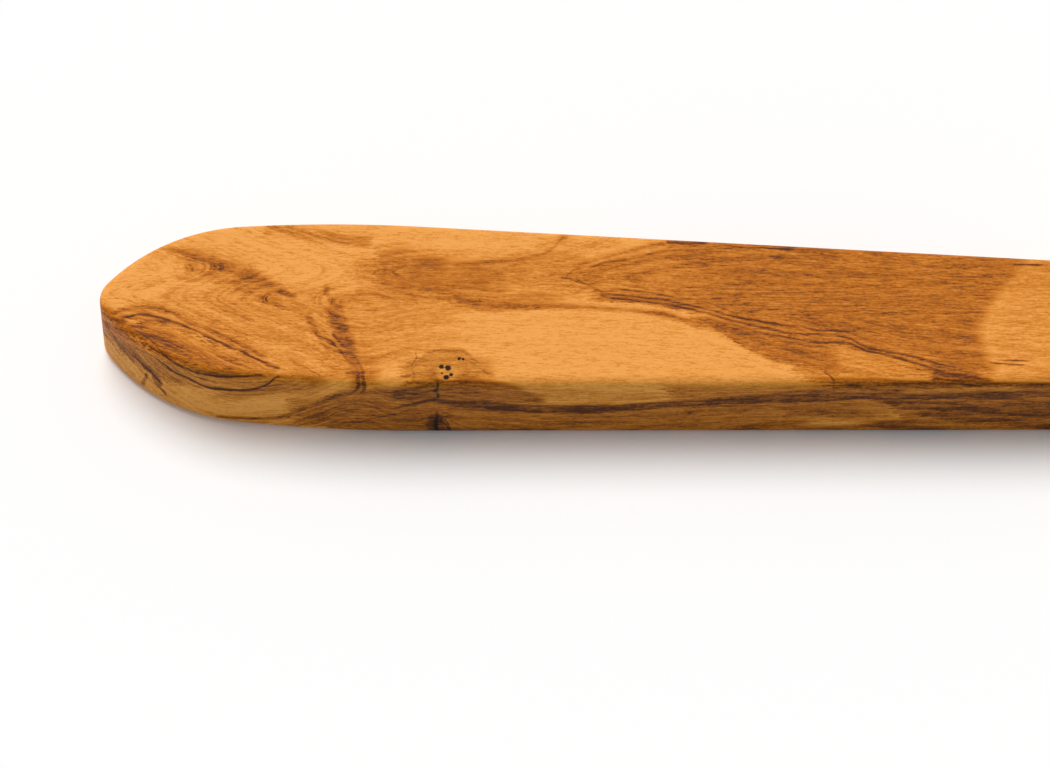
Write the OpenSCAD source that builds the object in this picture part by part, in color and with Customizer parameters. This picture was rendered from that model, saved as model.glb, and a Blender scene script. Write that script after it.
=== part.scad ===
// Flat file: a cut and hardened steel blade with its tang driven into an olive-wood slab handle.
// Millimetres. +X runs from the butt of the handle to the point of the blade, +Z up, and the
// handle's flat underside lies at z = 0.

/* [Handle] */
// Length of the bare wood, from the butt to the ferrule
handle_l = 142; // [120:1:165]
// Greatest width of the handle
handle_w = 28; // [25:0.5:32]
// Thickness of the slab that the handle is cut from
handle_t = 13.5; // [12:0.5:17]
// Radius of the blunt nose at the butt
nose_r = 4; // [3:0.5:6]
// Slant of the side where the nose runs into the cheek, in degrees
nose_slant = 53; // [46:1:58]
// Slant of the side where the cheek runs into the long flank, in degrees
cheek_slant = 5.6; // [4:0.2:7]
// Radius of the long flank, where the handle is widest
flank_r = 198; // [150:2:240]
// Slant of each side from the flank down to the ferrule, in degrees
neck_slant = 1.9; // [1.2:0.1:2.4]
// Radius of the sanded arris, all round and on both faces
arris_r = 1.5; // [1.2:0.1:2]

/* [Ferrule] */
// Length of the ferrule
ferrule_l = 18; // [12:1:26]
// Wall of the brass that the ferrule is folded from
ferrule_wall = 1; // [0.6:0.1:1]
// How far the end of the wood stands back inside the ferrule's mouth
mouth_depth = 1; // [0.5:0.5:3]
// Gap between the wood and the inside of the ferrule
ferrule_fit = 0.05; // [0.02:0.01:0.1]

/* [Ferrule pins] */
// Diameter of a pin's shank
pin_d = 1.6; // [1.2:0.1:2]
// Length of a pin under its head
pin_l = 3.8; // [2.4:0.2:4.2]
// Diameter of a pin's head
pin_head_d = 3; // [2.4:0.2:4]
// Height of a pin's domed head
pin_head_h = 0.7; // [0.4:0.1:1.2]
// Gap all round a pin's shank in its hole
pin_fit = 0.05; // [0.02:0.01:0.1]

/* [Blade] */
// Length of the blade, from its heel to its point
blade_l = 200; // [150:5:250]
// Width of the blade
blade_w = 20; // [18:1:21]
// Thickness of the blade
blade_t = 5; // [4.5:0.5:6]
// Length of the stretch at the point over which the blade gets narrower and thinner
point_l = 75; // [50:5:100]
// Width of the blade at its point
point_w = 15; // [12:0.5:16]
// Thickness of the blade at its point
point_t = 3.6; // [2.5:0.1:4]
// Radius of each shoulder, where the heel drops to the tang
shoulder_r = 3.5; // [2:0.5:4]

/* [Tang] */
// Length of the tang, from the heel to its tip
tang_l = 62; // [45:1:75]
// Width of the tang at the heel
tang_w = 12; // [9:0.5:12]
// Thickness of the tang at the heel
tang_t = 4.6; // [3.5:0.1:5]
// Width of the tang at its tip
tang_tip_w = 4; // [2.5:0.5:6]
// Thickness of the tang at its tip
tang_tip_t = 2.2; // [1.5:0.1:3]
// Length of tang that shows between the ferrule and the heel
tang_bare = 5; // [2:0.5:9]
// Gap all round the tang in its socket
tang_fit = 0.1; // [0.05:0.05:0.2]
// Room left in the socket ahead of the tang's tip
socket_spare = 3; // [1:0.5:6]

/* [Hidden] */

// Overshoot of a cut past the face that it opens
CUT = 1;
// Facets that a full circle is drawn with
ROUND = 96;
// The same for the arrises of the handle, which end up in a hull
HULL_ROUND = 32;
// The same for the arcs of the handle's outline
ARC_ROUND = 180;
// Flats that the bow at the blade's point is made of
BOW_STEPS = 12;

// Stations along X, from the butt
ferrule_x = handle_l;
mouth_x = ferrule_x + ferrule_l;
heel_x = mouth_x + tang_bare;
point_x = heel_x + blade_l;
mid_z = handle_t / 2;

// One side of the handle is three arcs and a straight, each running on from the last: the nose,
// the cheek and the flank. An arc's bearing is the direction from its centre to the side.
function along(bearing) = [cos(bearing), sin(bearing)];
nose_c = [nose_r, 0];
nose_end = 90 + nose_slant;
cheek_end = 90 + cheek_slant;
flank_end = 90 - neck_slant;
cheek_r = (handle_w / 2 - nose_r * cos(nose_slant) - flank_r * (1 - cos(cheek_slant)))
    / (cos(cheek_slant) - cos(nose_slant));
cheek_c = nose_c + (nose_r - cheek_r) * along(nose_end);
flank_c = cheek_c + (cheek_r - flank_r) * along(cheek_end);
flank_tail = flank_c + flank_r * along(flank_end);
neck_half = flank_tail[1] - (ferrule_x - flank_tail[0]) * tan(neck_slant);
neck_w = 2 * neck_half;

spigot_gap = ferrule_wall + ferrule_fit;
spigot_l = ferrule_l - mouth_depth;
pin_x = ferrule_x + spigot_l / 2;

// Puts the origin under the middle of the whole file
module placed() {
    translate([-point_x / 2, 0, 0]) children();
}

// A rectangle with round corners, centred on the origin
module round_rect(w, h, r) {
    square([w - 2 * r, h], center = true);
    square([w, h - 2 * r], center = true);
    for (i = [-1, 1], j = [-1, 1])
        translate([i * (w / 2 - r), j * (h / 2 - r)]) circle(r, $fn = ROUND);
}

// The neck's section, cut back by inset all round, run along X from x0
module neck_bar(x0, length, inset) {
    translate([x0, 0, mid_z]) rotate([90, 0, 90]) linear_extrude(length)
        round_rect(neck_w - 2 * inset, handle_t - 2 * inset, arris_r - inset);
}

// The two rounded arrises of the slab along one arc of its outline
module edge_arc(centre, r, from, to) {
    translate([centre[0], centre[1], 0]) rotate([0, 0, from])
        rotate_extrude(angle = to - from, $fn = ARC_ROUND)
            for (z = [arris_r, handle_t - arris_r]) intersection() {
                translate([r - arris_r, z]) circle(arris_r, $fn = HULL_ROUND);
                translate([r - arris_r, 0]) square([arris_r, handle_t]);
            }
}

// The slab's outline bulges everywhere, so a hull over its edges and the neck is the whole slab
module slab() {
    hull() {
        edge_arc(nose_c, nose_r, nose_end, 360 - nose_end);
        for (m = [0, 1]) mirror([0, m, 0]) {
            edge_arc(cheek_c, cheek_r, cheek_end, nose_end);
            edge_arc(flank_c, flank_r, flank_end, cheek_end);
        }
        neck_bar(ferrule_x - CUT, CUT, 0);
    }
}

// Outline of a wedge that runs back from ahead of x = 0, where its half-width is half
module wedge_outline(half, fall, back) {
    polygon([
        [CUT, -half - fall * CUT], [CUT, half + fall * CUT],
        [-back, half - fall * back], [-back, fall * back - half]
    ]);
}

// Stands an outline up on its long edge, so that its own Y becomes Z about the middle of the slab
module on_edge(width) {
    translate([0, width / 2, mid_z]) rotate([90, 0, 0]) linear_extrude(width) children();
}

// The tang's own shape, grown by gap all round and by spare past its tip
module tang_form(gap, spare) {
    w_fall = (tang_w - tang_tip_w) / tang_l / 2;
    t_fall = (tang_t - tang_tip_t) / tang_l / 2;
    back = tang_l + spare;
    translate([heel_x, 0, 0]) intersection() {
        linear_extrude(handle_t) wedge_outline(tang_w / 2 + gap, w_fall, back);
        on_edge(blade_w) wedge_outline(tang_t / 2 + gap, t_fall, back);
    }
}

// Pins' places: the mouth of each hole is on a narrow side of the ferrule
module at_pins() {
    for (m = [0, 1]) mirror([0, m, 0])
        translate([pin_x, neck_half, mid_z]) rotate([90, 0, 0]) children();
}

module pin_holes() {
    at_pins() translate([0, 0, -CUT]) cylinder(h = CUT + pin_l + pin_fit, d = pin_d + 2 * pin_fit, $fn = ROUND);
}

module handle() {
    color("peru") placed() difference() {
        union() {
            slab();
            neck_bar(ferrule_x - CUT, CUT + spigot_l, spigot_gap);
        }
        tang_form(tang_fit, socket_spare);
        pin_holes();
    }
}

module ferrule() {
    color("goldenrod") placed() difference() {
        neck_bar(ferrule_x, ferrule_l, 0);
        neck_bar(ferrule_x - CUT, ferrule_l + 2 * CUT, ferrule_wall);
        pin_holes();
    }
}

module ferrule_pins() {
    dome_r = (pow(pin_head_d / 2, 2) + pow(pin_head_h, 2)) / (2 * pin_head_h);
    color("khaki") placed() at_pins() {
        cylinder(h = pin_l - pin_d, d = pin_d, $fn = ROUND);
        translate([0, 0, pin_l - pin_d]) cylinder(h = pin_d, d1 = pin_d, d2 = 0, $fn = ROUND);
        rotate_extrude($fn = ROUND) intersection() {
            translate([0, dome_r - pin_head_h]) circle(dome_r, $fn = ROUND);
            translate([0, -pin_head_h]) square([pin_head_d / 2, pin_head_h]);
        }
    }
}

// Closes an outline from the points of its +Y side
function both_sides(side) = concat(side, [for (k = [len(side) - 1:-1:0]) [side[k][0], -side[k][1]]]);

// Blade outline from the heel at x = 0: parallel, then drawn in to the point on a bow that
// starts tangent to the parallel stretch
module blade_outline(full, tip) {
    drop = (full - tip) / 2;
    bow = [for (k = [0:BOW_STEPS]) let (t = k / BOW_STEPS) [blade_l - point_l * (1 - t), full / 2 - drop * t * t]];
    polygon(both_sides(concat([[0, full / 2]], bow)));
}

// What is taken off the heel's two corners to leave round shoulders
module shoulder_cuts() {
    for (m = [0, 1]) mirror([0, m, 0]) linear_extrude(handle_t) difference() {
        translate([-CUT, blade_w / 2 - shoulder_r]) square([CUT + shoulder_r, shoulder_r + CUT]);
        translate([shoulder_r, blade_w / 2 - shoulder_r]) circle(shoulder_r, $fn = ROUND);
    }
}

module file_blade() {
    color("slategray") placed() {
        translate([heel_x, 0, 0]) difference() {
            intersection() {
                linear_extrude(handle_t) blade_outline(blade_w, point_w);
                on_edge(blade_w + 2 * CUT) blade_outline(blade_t, point_t);
            }
            shoulder_cuts();
        }
        tang_form(0, 0);
    }
}

handle();
ferrule();
ferrule_pins();
file_blade();
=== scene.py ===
from math import asin, cos, pi, radians, sin, tan

import bpy
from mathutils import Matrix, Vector
from mathutils.bvhtree import BVHTree


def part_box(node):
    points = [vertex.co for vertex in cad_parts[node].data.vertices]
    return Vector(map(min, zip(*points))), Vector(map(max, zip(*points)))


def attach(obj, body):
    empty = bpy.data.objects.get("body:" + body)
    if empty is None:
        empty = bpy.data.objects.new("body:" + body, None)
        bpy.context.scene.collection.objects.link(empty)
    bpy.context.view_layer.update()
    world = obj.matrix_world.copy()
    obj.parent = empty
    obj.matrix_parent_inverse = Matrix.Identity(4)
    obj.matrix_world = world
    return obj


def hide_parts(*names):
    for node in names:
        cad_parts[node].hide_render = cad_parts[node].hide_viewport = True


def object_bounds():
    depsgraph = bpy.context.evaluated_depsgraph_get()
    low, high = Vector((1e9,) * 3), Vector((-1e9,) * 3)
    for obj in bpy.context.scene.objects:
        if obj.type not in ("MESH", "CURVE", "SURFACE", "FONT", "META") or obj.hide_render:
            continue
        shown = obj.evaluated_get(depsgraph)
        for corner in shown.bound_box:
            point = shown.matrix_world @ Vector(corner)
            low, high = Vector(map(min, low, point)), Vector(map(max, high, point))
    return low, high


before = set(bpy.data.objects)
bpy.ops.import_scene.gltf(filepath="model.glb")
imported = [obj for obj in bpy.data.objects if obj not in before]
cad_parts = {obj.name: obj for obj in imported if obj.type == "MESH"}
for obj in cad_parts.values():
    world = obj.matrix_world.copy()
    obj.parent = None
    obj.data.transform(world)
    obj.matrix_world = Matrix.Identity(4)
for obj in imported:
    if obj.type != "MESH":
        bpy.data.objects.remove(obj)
cad_low, cad_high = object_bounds()
MM = 0.001


# ---- Camera ----
# The photograph looks down on the near side of the handle through a long lens. It is cut off at
# its right edge, still in the grip. These points of it settle the camera, and below it is measured
# how far the model shows from each.
PHOTO_W, PHOTO_H = 1050, 768
SEEN = {
    "butt": (102, 313),
    "far_edge_at_widest": (323, 225),
    "near_edge_low": (643, 432),
    "far_edge_at_frame": (1043, 261),
    "near_edge_at_frame": (1043, 430),
    "arris_at_middle": (700, 375),
    "knot": (447, 371),
    "knot_pinhole": (461, 359),
    "eye_near_butt": (112, 314),
    "eye_tail": (276, 377),
    "second_fork": (567, 277),
    "bundle_point": (988, 379),
    "side_check": (437, 414),
}
CAMERA_LENS = 200
CAMERA_SENSOR = 36
CAMERA_ELEVATION = radians(57)
CAMERA_TURN = radians(1.81)
CAMERA_AIM = Vector((cad_low.x + 61.3 * MM, -4.7 * MM, 0))
CAMERA_DISTANCE = 845 * MM

view_back = Vector((
    sin(CAMERA_TURN) * cos(CAMERA_ELEVATION),
    -cos(CAMERA_TURN) * cos(CAMERA_ELEVATION),
    sin(CAMERA_ELEVATION),
))
camera_data = bpy.data.cameras.new("camera")
camera_data.lens = CAMERA_LENS
camera_data.sensor_width = CAMERA_SENSOR
camera_data.sensor_fit = "AUTO"
camera_data.clip_end = 50
camera = bpy.data.objects.new("camera", camera_data)
bpy.context.scene.collection.objects.link(camera)
camera.location = CAMERA_AIM + view_back * CAMERA_DISTANCE
camera.rotation_euler = view_back.to_track_quat("Z", "Y").to_euler()
bpy.context.scene.camera = camera
bpy.context.view_layer.update()
bpy.context.scene.view_settings.view_transform = "Standard"

FRAME_LONG = max(PHOTO_W, PHOTO_H)


def sight(pixel):
    """The ray from the camera through a pixel of the photograph: its start and its direction."""
    ray = Vector((
        pixel[0] - PHOTO_W / 2 + camera_data.shift_x * FRAME_LONG,
        PHOTO_H / 2 - pixel[1] + camera_data.shift_y * FRAME_LONG,
        -FRAME_LONG * CAMERA_LENS / CAMERA_SENSOR,
    ))
    turn = camera.matrix_world.to_3x3()
    return camera.location, (turn @ ray).normalized()


def shown_at(point):
    """The pixel of the photograph at which a point of the scene shows."""
    local = camera.matrix_world.inverted() @ Vector(point)
    reach = FRAME_LONG * CAMERA_LENS / CAMERA_SENSOR / -local.z
    return Vector((
        PHOTO_W / 2 - camera_data.shift_x * FRAME_LONG + local.x * reach,
        PHOTO_H / 2 + camera_data.shift_y * FRAME_LONG - local.y * reach,
    ))


# ---- Handle ----
# One slab of olive wood, sawn to an outline of arcs that is widest near the butt, its arrises
# sanded round. A shorter neck goes into the ferrule, and the tang is driven into a tapered socket.
handle_low, handle_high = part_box("handle")
ferrule_low, ferrule_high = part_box("ferrule")
blade_low, blade_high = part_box("file_blade")
butt_x = handle_low.x
slab_top = handle_high.z
NOSE_R = 4 * MM
NOSE_SLANT = radians(53)
CHEEK_SLANT = radians(5.6)
FLANK_R = 198 * MM
NECK_SLANT = radians(1.9)
ARRIS_R = 1.5 * MM
NECK_INSET = 1.05 * MM
ACROSS = (False, True, False)
handle_half = handle_high.y


def new_piece(name):
    """Takes the primitive that was just added as a piece of its own, with its place in its mesh."""
    piece = bpy.context.object
    piece.name = piece.data.name = name
    bpy.ops.object.transform_apply(location=True, rotation=True, scale=True)
    return piece


def edit():
    bpy.ops.object.mode_set(mode="EDIT")


def done():
    bpy.ops.object.mode_set(mode="OBJECT")


def pick_all():
    bpy.ops.mesh.select_all(action="SELECT")


def draw_out(way):
    """In edit mode, extrudes what is selected along a way."""
    bpy.ops.mesh.extrude_region_move(TRANSFORM_OT_translate={"value": way})


def weld(gap):
    """In edit mode, joins the points of a whole piece that lie closer than this gap."""
    pick_all()
    bpy.ops.mesh.remove_doubles(threshold=gap)


def round_off(radius, steps):
    """In edit mode, rounds the edges that are selected."""
    bpy.ops.mesh.bevel(offset=radius, segments=steps, affect="EDGES")


def face_outwards():
    pick_all()
    bpy.ops.mesh.normals_make_consistent(inside=False)


def pick(piece, kind, test):
    """In edit mode, selects the vertices, edges or faces whose place passes a test."""
    bpy.ops.mesh.select_mode(type=kind)
    bpy.ops.mesh.select_all(action="DESELECT")
    done()
    corners = piece.data.vertices
    if kind == "VERT":
        for vertex in corners:
            vertex.select = test(vertex.co)
    elif kind == "EDGE":
        for edge in piece.data.edges:
            edge.select = test(*(corners[k].co for k in edge.vertices))
    else:
        for face in piece.data.polygons:
            face.select = test(face.center, face.normal)
    edit()


def start_piece():
    """Leaves edit mode and deselects everything, so that the next primitive stands alone."""
    if bpy.context.object and bpy.context.object.mode == "EDIT":
        done()
    bpy.ops.object.select_all(action="DESELECT")


def start_at(name, spot):
    """A new piece that is still a single point, in edit mode, to be extruded or spun from."""
    start_piece()
    bpy.ops.mesh.primitive_plane_add(size=MM)
    piece = new_piece(name)
    edit()
    bpy.ops.mesh.select_mode(type="VERT")
    pick_all()
    bpy.ops.mesh.merge(type="CENTER")
    bpy.ops.transform.translate(value=spot)
    return piece


def block(name, middle, size):
    """A new piece that is a box, in edit mode."""
    start_piece()
    bpy.ops.mesh.primitive_cube_add(size=1, location=middle, scale=size)
    piece = new_piece(name)
    edit()
    return piece


def reshape(piece, kind, **settings):
    """Gives a piece a modifier with these settings, and applies it."""
    modifier = piece.modifiers.new("reshape", kind)
    for name, value in settings.items():
        setattr(modifier, name, value)
    bpy.context.view_layer.objects.active = piece
    bpy.ops.object.modifier_apply(modifier=modifier.name)


def cut_out(piece, cutter):
    """Takes the shape of a cutter out of a piece, and the cutter away."""
    bpy.ops.object.select_all(action="DESELECT")
    reshape(piece, "BOOLEAN", operation="DIFFERENCE", object=cutter)
    bpy.data.objects.remove(cutter)


# The outline of one side, turned from a single point about the centres of its arcs
cheek_r = (handle_half - NOSE_R * cos(NOSE_SLANT) - FLANK_R * (1 - cos(CHEEK_SLANT))) / (
    cos(CHEEK_SLANT) - cos(NOSE_SLANT)
)
nose_out = Vector((-sin(NOSE_SLANT), cos(NOSE_SLANT), 0))
cheek_out = Vector((-sin(CHEEK_SLANT), cos(CHEEK_SLANT), 0))
nose_centre = Vector((butt_x + NOSE_R, 0, 0))
cheek_centre = nose_centre + nose_out * (NOSE_R - cheek_r)
flank_centre = cheek_centre + cheek_out * (cheek_r - FLANK_R)
ARC_STEPS = ((nose_centre, pi / 2 - NOSE_SLANT, 16), (cheek_centre, NOSE_SLANT - CHEEK_SLANT, 40),
             (flank_centre, CHEEK_SLANT + NECK_SLANT, 24))

handle = start_at("handle_wood", (butt_x, 0, 0))
for centre, angle, steps in ARC_STEPS:
    bpy.ops.mesh.spin(steps=steps, angle=angle, center=centre, axis=(0, 0, 1))
done()
tail = max((v.co for v in handle.data.vertices), key=lambda c: c.x).copy()
neck_run = ferrule_low.x - tail.x
neck_half = tail.y - neck_run * tan(NECK_SLANT)
edit()
draw_out((neck_run, neck_half - tail.y, 0))
draw_out((0, -neck_half, 0))
pick_all()
bpy.ops.mesh.edge_face_add()
draw_out((0, 0, slab_top))
pick(handle, "FACE", lambda centre, normal: abs(normal.y) > 0.999 and abs(centre.y) < 0.01 * MM)
bpy.ops.mesh.delete(type="FACE")
done()
reshape(handle, "MIRROR", use_axis=ACROSS, merge_threshold=0.001 * MM)
edit()
face_outwards()
pick(handle, "EDGE", lambda a, b: max(abs(a.y), abs(b.y)) < 0.01 * MM and abs(a.z - b.z) < MM)
bpy.ops.mesh.dissolve_edges(use_verts=False)
pick(handle, "EDGE", lambda a, b: (a - b).length > 1e-7 and abs(a.z - b.z) < 1e-7
     and max(abs(a.y), abs(b.y)) > 0.1 * MM and min(a.x, b.x) < ferrule_low.x - 0.01 * MM)
round_off(ARRIS_R, 8)
pick(handle, "FACE", lambda centre, normal: normal.x > 0.999 and centre.x > ferrule_low.x - 0.1 * MM)
bpy.ops.mesh.inset(thickness=NECK_INSET, depth=0)
draw_out((handle_high.x - ferrule_low.x, 0, 0))
done()

# The tapered socket that the tang is driven into, and the two holes for the ferrule's pins
TANG_BARE, TANG_RUN = 5 * MM, 62 * MM
TANG_HALF_W, TANG_HALF_T = 6 * MM, 2.3 * MM
TANG_TIP_HALF_W, TANG_TIP_HALF_T = 2 * MM, 1.1 * MM
TANG_FIT = 0.1 * MM
SOCKET_SPARE = 3 * MM
heel_x = ferrule_high.x + TANG_BARE
tang_z = (blade_low.z + blade_high.z) / 2
socket_run = TANG_RUN + SOCKET_SPARE


def squeeze(wide, high):
    """In edit mode, scales the width and height of what is selected about the tang's own line."""
    bpy.ops.transform.resize(value=(1, wide, high), center_override=(0, 0, tang_z))


socket = block("socket", (heel_x - socket_run / 2, 0, tang_z),
               (socket_run, 2 * (TANG_HALF_W + TANG_FIT), 2 * (TANG_HALF_T + TANG_FIT)))
pick(socket, "FACE", lambda centre, normal: normal.x < -0.9)
end_half_w = TANG_HALF_W - (TANG_HALF_W - TANG_TIP_HALF_W) * socket_run / TANG_RUN + TANG_FIT
end_half_t = TANG_HALF_T - (TANG_HALF_T - TANG_TIP_HALF_T) * socket_run / TANG_RUN + TANG_FIT
squeeze(end_half_w / (TANG_HALF_W + TANG_FIT), end_half_t / (TANG_HALF_T + TANG_FIT))
done()
cut_out(handle, socket)

PIN_R, PIN_RUN, PIN_FIT = 0.8 * MM, 3.8 * MM, 0.05 * MM
pin_x = (ferrule_low.x + handle_high.x) / 2
pin_z = slab_top / 2


def pin_drill():
    """A cutter for both pin holes, from outside the ferrule to just past the pins' points."""
    start_piece()
    bpy.ops.mesh.primitive_cylinder_add(
        vertices=48, radius=PIN_R + PIN_FIT, depth=PIN_RUN + PIN_FIT + 2 * MM, rotation=(pi / 2, 0, 0),
        location=(pin_x, neck_half + MM - (PIN_RUN + PIN_FIT) / 2, pin_z))
    drill = new_piece("pin_drill")
    reshape(drill, "MIRROR", use_axis=ACROSS)
    return drill


cut_out(handle, pin_drill())
bpy.ops.object.shade_smooth_by_angle(angle=radians(30))
reshape(handle, "WEIGHTED_NORMAL", keep_sharp=True)
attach(handle, "root")
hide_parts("handle")


class Grain:
    """A number, colour or vector that varies over a surface, for use in Python expressions."""

    def __init__(self, socket):
        self.socket = socket

    def node(self, kind, settings=None, inputs=None, out=0):
        """Adds any node to this one's tree, with its settings first and then its inputs."""
        node = self.socket.id_data.nodes.new(kind)
        for name, value in (settings or {}).items():
            setattr(node, name, value)
        for key, value in (inputs or {}).items():
            if isinstance(value, Grain):
                node.id_data.links.new(value.socket, node.inputs[key])
            else:
                node.inputs[key].default_value = value
        return Grain(node.outputs[out])

    def part(self, axis):
        """The X, Y or Z of a vector."""
        return self.node("ShaderNodeSeparateXYZ", {}, {0: self}, out="XYZ".index(axis))

    def parts(self):
        """The red, green and blue of a colour."""
        node = self.node("ShaderNodeSeparateColor", {}, {0: self}).socket.node
        return [Grain(socket) for socket in node.outputs]

    def maths(self, operation, *values):
        return self.node("ShaderNodeMath", {"operation": operation}, dict(enumerate(values)))

    def __add__(self, other):
        return self.maths("ADD", self, other)

    def __sub__(self, other):
        return self.maths("SUBTRACT", self, other)

    def __rsub__(self, other):
        return self.maths("SUBTRACT", other, self)

    def __mul__(self, other):
        return self.maths("MULTIPLY", self, other)

    def __truediv__(self, other):
        return self.maths("DIVIDE", self, other)

    def __abs__(self):
        return self.maths("ABSOLUTE", self)

    __radd__, __rmul__ = __add__, __mul__

    def step(self, start, end):
        """Rises smoothly from 0 to 1 as this goes from start to end, which may be the lower."""
        return self.node("ShaderNodeMapRange", {"interpolation_type": "SMOOTHSTEP", "clamp": False},
                         {"Value": self, "From Min": start, "From Max": end})

    def noise(self, scale, detail=2, rough=0.5):
        """Smooth noise between 0 and 1 at these points, with a feature size of 1 / scale."""
        return self.node("ShaderNodeTexNoise", {"noise_dimensions": "3D"}, {
            "Vector": self.node("ShaderNodeVectorMath", {"operation": "MULTIPLY"}, {0: self, 1: scale}),
            "Scale": 1.0, "Detail": detail, "Roughness": rough,
        })

    def ramp(self, *stops):
        """A colour from stops of a number and the red, green and blue of a screen."""
        node = self.node("ShaderNodeValToRGB", {}, {0: self}).socket.node
        elements = node.color_ramp.elements
        while len(elements) < len(stops):
            elements.new(0.5)
        for element, (spot, colour) in zip(elements, stops):
            element.position, element.color = spot, paint(*colour)
        return Grain(node.outputs[0])

    def mix(self, here, there):
        """The colour here where this is 0 and there where it is 1."""
        return self.node("ShaderNodeMix", {"data_type": "RGBA"}, {0: self, 6: here, 7: there}, out=2)


def paint(red, green, blue):
    """A colour as seen on a screen, 0 to 255, as the linear colour that a shader takes."""
    return tuple((c / 255 / 12.92 if c <= 10 else ((c / 255 + 0.055) / 1.055) ** 2.4)
                 for c in (red, green, blue)) + (1.0,)


def new_finish(name, piece, bsdf):
    """A material on a piece: gives its shader and the piece's own coordinates in millimetres."""
    finish = bpy.data.materials.new(name)
    finish.use_nodes = True
    shader = finish.node_tree.nodes["Principled BSDF"]
    for key, value in bsdf.items():
        shader.inputs[key].default_value = value
    piece.data.materials.clear()
    piece.data.materials.append(finish)
    place = Grain(finish.node_tree.nodes.new("ShaderNodeTexCoord").outputs["Object"])
    place = place.node("ShaderNodeMapping", {}, {
        "Vector": place, "Location": (-butt_x / MM, 0, 0), "Scale": (1 / MM, 1 / MM, 1 / MM)})
    return shader, place


def wire(shader, key, grain):
    grain.socket.id_data.links.new(grain.socket, shader.inputs[key])


def bump(shader, strength, high, relief):
    """Gives a finish a relief, high being the rise in metres from 0 to 1."""
    wire(shader, "Normal", relief.node(
        "ShaderNodeBump", {}, {"Strength": strength, "Distance": high, "Height": relief}))


# The figure of the wood is laid out in millimetres on one flat map: along is measured from the
# butt, and across runs over the upper face and on down the near side, so that every line which
# meets the arris goes on over it, as the rings do in a sawn slab. The middle of the top is at 0
# across, its near edge half the handle's width below 0, and the underside a thickness below that.
MAP_LONG = 150
MAP_LOW, MAP_HIGH = -28, 16
MAP_WIDE = MAP_HIGH - MAP_LOW
# Lines fade in and out over a short run, their stain has a share of their darkness, and curves of
# their widths are drawn to a larger scale
STROKE_FADE = 1.2
HALO_SHARE = 0.62
WIDTH_SCALE = 4
wood, place = new_finish("olive_wood", handle, {"Specular IOR Level": 0.09})
swirl = place.noise((0.1, 0.28, 0.28))
ripple = place.noise((0.35, 1.1, 1.1))
flame = place.noise((0.12, 1.5, 1.5), rough=0.6)
fibre = place.noise((0.5, 3.4, 3.4), rough=0.7)
speck = place.noise((1.8, 5.2, 5.2), rough=0.7)
true_along = place.part("X")
true_across = place.part("Y") + place.part("Z") - slab_top / MM
along = true_along + (ripple - 0.5) * 0.7 + (speck - 0.5) * 0.35
across = true_across + (ripple - 0.5) * 0.35 + (fibre - 0.5) * 0.22
along_map = along / MAP_LONG
across_map = (across - MAP_LOW) / MAP_WIDE
ragged = (fibre - 0.5) * 1.6 + (flame - 0.5) * 1.6 + (speck - 0.5)


def tint(value):
    """The same value as the red, green and blue of a colour, which curves take."""
    return value.node("ShaderNodeCombineColor", {}, {0: value, 1: value, 2: value})


along_tint, across_tint = tint(along_map), tint(across_map)
frayed_across = across_map + ragged * (0.45 / MAP_WIDE)
frayed_tint = tint(along_map + ragged * (1.6 / MAP_LONG))


def drawn(here, *heights):
    """Up to three smooth curves of height against the place here, all from 0 to 1, as a colour."""
    curves = here.node("ShaderNodeRGBCurve", {}, {"Color": here})
    mapping = curves.socket.node.mapping
    mapping.extend = "HORIZONTAL"
    for curve, spots in zip(mapping.curves, heights):
        while len(curve.points) < len(spots):
            curve.points.new(0.5, 0.5)
        for point, spot in zip(curve.points, spots):
            point.location = spot
            point.handle_type = "AUTO_CLAMPED"
    mapping.update()
    return curves


def stroke(*points, dark=0.85, half=0.32, soft=0.6, halo=0):
    """One line of the figure, through points of along, across and, if they vary, share of the
    darkness and of the half-width. A halo is a wide, ragged, paler stain on both its sides.
    """
    ways = [(along_map, along_tint, 0, MAP_LONG), (across_map, across_tint, MAP_LOW, MAP_WIDE)]
    spots = [(*p, 1, 1)[:4] for p in points]
    if abs(spots[-1][1] - spots[0][1]) > abs(spots[-1][0] - spots[0][0]):
        ways.reverse()
        spots = [(p[1], p[0], *p[2:]) for p in spots]
    (_, run, run_low, run_wide), (rise, _, rise_low, rise_wide) = ways
    spots.sort()
    at = [(p[0] - run_low) / run_wide for p in spots]
    end = STROKE_FADE / run_wide
    course, depth, width = drawn(
        run,
        [(x, (p[1] - rise_low) / rise_wide) for x, p in zip(at, spots)],
        [(at[0] - end, 0), *((x, dark * p[2]) for x, p in zip(at, spots)), (at[-1] + end, 0)],
        [(x, WIDTH_SCALE * half * p[3] / rise_wide) for x, p in zip(at, spots)],
    ).parts()
    off = abs(rise - course)
    mark = (off / width).step((1 + soft) / WIDTH_SCALE, (1 - soft) / WIDTH_SCALE)
    if halo:
        reach = halo / rise_wide
        stain = (off + ragged * (0.5 * reach)).step(1.5 * reach, 0.2 * reach)
        mark = mark.maths("MAXIMUM", mark, stain * HALO_SHARE)
    return mark * depth


def area(*points, dark=0.5, edge=1, fade=3):
    """A patch, through points of along, lowest and highest place across and, if it varies, share
    of the darkness, with ragged edges.
    """
    at = [p[0] / MAP_LONG for p in points]
    end = fade / MAP_LONG
    shares = [p[3] if len(p) > 3 else 1 for p in points]
    low, high, depth = drawn(
        frayed_tint,
        [(x, (p[1] - MAP_LOW) / MAP_WIDE) for x, p in zip(at, points)],
        [(x, (p[2] - MAP_LOW) / MAP_WIDE) for x, p in zip(at, points)],
        [(at[0] - end, 0), *((x, dark * share) for x, share in zip(at, shares)), (at[-1] + end, 0)],
    ).parts()
    soft = edge / MAP_WIDE
    return (frayed_across - low).step(-soft, soft) * (frayed_across - high).step(soft, -soft) * depth


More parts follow.
